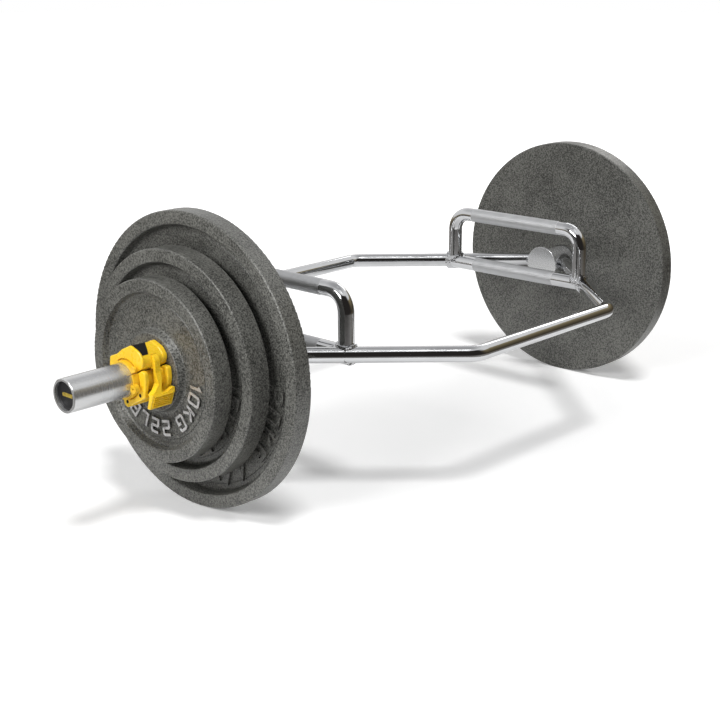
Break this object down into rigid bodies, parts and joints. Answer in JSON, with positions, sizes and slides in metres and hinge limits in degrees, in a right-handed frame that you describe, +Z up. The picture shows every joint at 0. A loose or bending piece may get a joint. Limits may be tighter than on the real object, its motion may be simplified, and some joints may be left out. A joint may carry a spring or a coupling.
{
  "type": "hex trap bar",
  "caption": "Hexagonal lifting bar with low and raised grips, cast weight plates turning on its round sleeves, and hinged latch collars that clamp behind the plates.",
  "frame": {"origin": "on the floor, under the middle of the bar", "axes": "+X along the bar towards the far end, +Z up, -Y towards the front, which the camera sees"},
  "size_m": [1.437, 0.608, 0.45],
  "materials": {
    "chrome": "polished chrome plate",
    "satin_steel": "turned, satin",
    "hammered_iron": "dark grey hammered paint",
    "yellow_plastic": "moulded, glossy",
    "yellow_liner": "moulded, satin",
    "black_rubber": "matt",
    "black_plastic": "matt",
    "black_steel": "blackened"
  },
  "bodies": {
    "bar": {"front_frame_bar": "chrome", "rear_frame_bar": "chrome", "near_sleeve": "satin_steel", "near_sleeve_disc": "satin_steel", "near_end_plug": "black_plastic", "near_low_grip": "chrome", "near_raised_handle": "chrome", "near_grip_welds": "chrome", "near_sleeve_welds": "chrome", "far_sleeve": "satin_steel", "far_sleeve_disc": "satin_steel", "far_end_plug": "black_plastic", "far_low_grip": "chrome", "far_raised_handle": "chrome", "far_grip_welds": "chrome", "far_sleeve_welds": "chrome"},
    "near_large_plate": {"near_large_plate": "hammered_iron"},
    "near_middle_plate": {"near_middle_plate": "hammered_iron"},
    "near_small_plate": {"near_small_plate": "hammered_iron"},
    "near_clip_upper": {"near_clip_upper_jaw": "yellow_plastic", "near_clip_upper_liner": "yellow_liner", "near_clip_inlay": "black_rubber", "near_clip_latch_pin": "black_steel"},
    "near_clip_front": {"near_clip_front_jaw": "yellow_plastic", "near_clip_front_liner": "yellow_liner", "near_clip_hinge_pin": "black_steel", "near_clip_keeper_pin": "black_steel"},
    "near_clip_latch": {"near_clip_latch_arm": "yellow_plastic"},
    "far_large_plate": {"far_large_plate": "hammered_iron"},
    "far_middle_plate": {"far_middle_plate": "hammered_iron"},
    "far_small_plate": {"far_small_plate": "hammered_iron"},
    "far_clip_upper": {"far_clip_upper_jaw": "yellow_plastic", "far_clip_upper_liner": "yellow_liner", "far_clip_inlay": "black_rubber", "far_clip_latch_pin": "black_steel"},
    "far_clip_front": {"far_clip_front_jaw": "yellow_plastic", "far_clip_front_liner": "yellow_liner", "far_clip_hinge_pin": "black_steel", "far_clip_keeper_pin": "black_steel"},
    "far_clip_latch": {"far_clip_latch_arm": "yellow_plastic"}
  },
  "joints": [
    {"name": "near_large_plate_turn", "type": "hinge", "parent": "bar", "child": "near_large_plate", "pos_m": [-0.4805, 0, 0.225], "axis": [1, 0, 0], "continuous": true},
    {"name": "near_middle_plate_turn", "type": "hinge", "parent": "bar", "child": "near_middle_plate", "pos_m": [-0.51405, 0, 0.225], "axis": [1, 0, 0], "continuous": true},
    {"name": "near_small_plate_turn", "type": "hinge", "parent": "bar", "child": "near_small_plate", "pos_m": [-0.5486, 0, 0.225], "axis": [1, 0, 0], "continuous": true},
    {"name": "near_clip_slide", "type": "slide", "parent": "bar", "child": "near_clip_upper", "axis": [-1, 0, 0], "range_m": [0, 0.155]},
    {"name": "near_clip_jaw_hinge", "type": "hinge", "parent": "near_clip_upper", "child": "near_clip_front", "pos_m": [-0.58835, 0, 0.1912], "axis": [1, 0, 0], "range_deg": [0, 7.2]},
    {"name": "near_clip_latch_hinge", "type": "hinge", "parent": "near_clip_upper", "child": "near_clip_latch", "pos_m": [-0.58835, -0.03348, 0.25309], "axis": [-1, 0, 0], "range_deg": [0, 90]},
    {"name": "far_large_plate_turn", "type": "hinge", "parent": "bar", "child": "far_large_plate", "pos_m": [0.4805, 0, 0.225], "axis": [1, 0, 0], "continuous": true},
    {"name": "far_middle_plate_turn", "type": "hinge", "parent": "bar", "child": "far_middle_plate", "pos_m": [0.51405, 0, 0.225], "axis": [1, 0, 0], "continuous": true},
    {"name": "far_small_plate_turn", "type": "hinge", "parent": "bar", "child": "far_small_plate", "pos_m": [0.5486, 0, 0.225], "axis": [1, 0, 0], "continuous": true},
    {"name": "far_clip_slide", "type": "slide", "parent": "bar", "child": "far_clip_upper", "axis": [1, 0, 0], "range_m": [0, 0.155]},
    {"name": "far_clip_jaw_hinge", "type": "hinge", "parent": "far_clip_upper", "child": "far_clip_front", "pos_m": [0.58835, 0, 0.1912], "axis": [-1, 0, 0], "range_deg": [0, 7.2]},
    {"name": "far_clip_latch_hinge", "type": "hinge", "parent": "far_clip_upper", "child": "far_clip_latch", "pos_m": [0.58835, 0.03348, 0.25309], "axis": [1, 0, 0], "range_deg": [0, 90]}
  ],
  "couplings": [
    {"joint": "near_clip_jaw_hinge", "follows": "near_clip_latch_hinge", "ratio": 0.08},
    {"joint": "far_clip_jaw_hinge", "follows": "far_clip_latch_hinge", "ratio": 0.08}
  ]
}
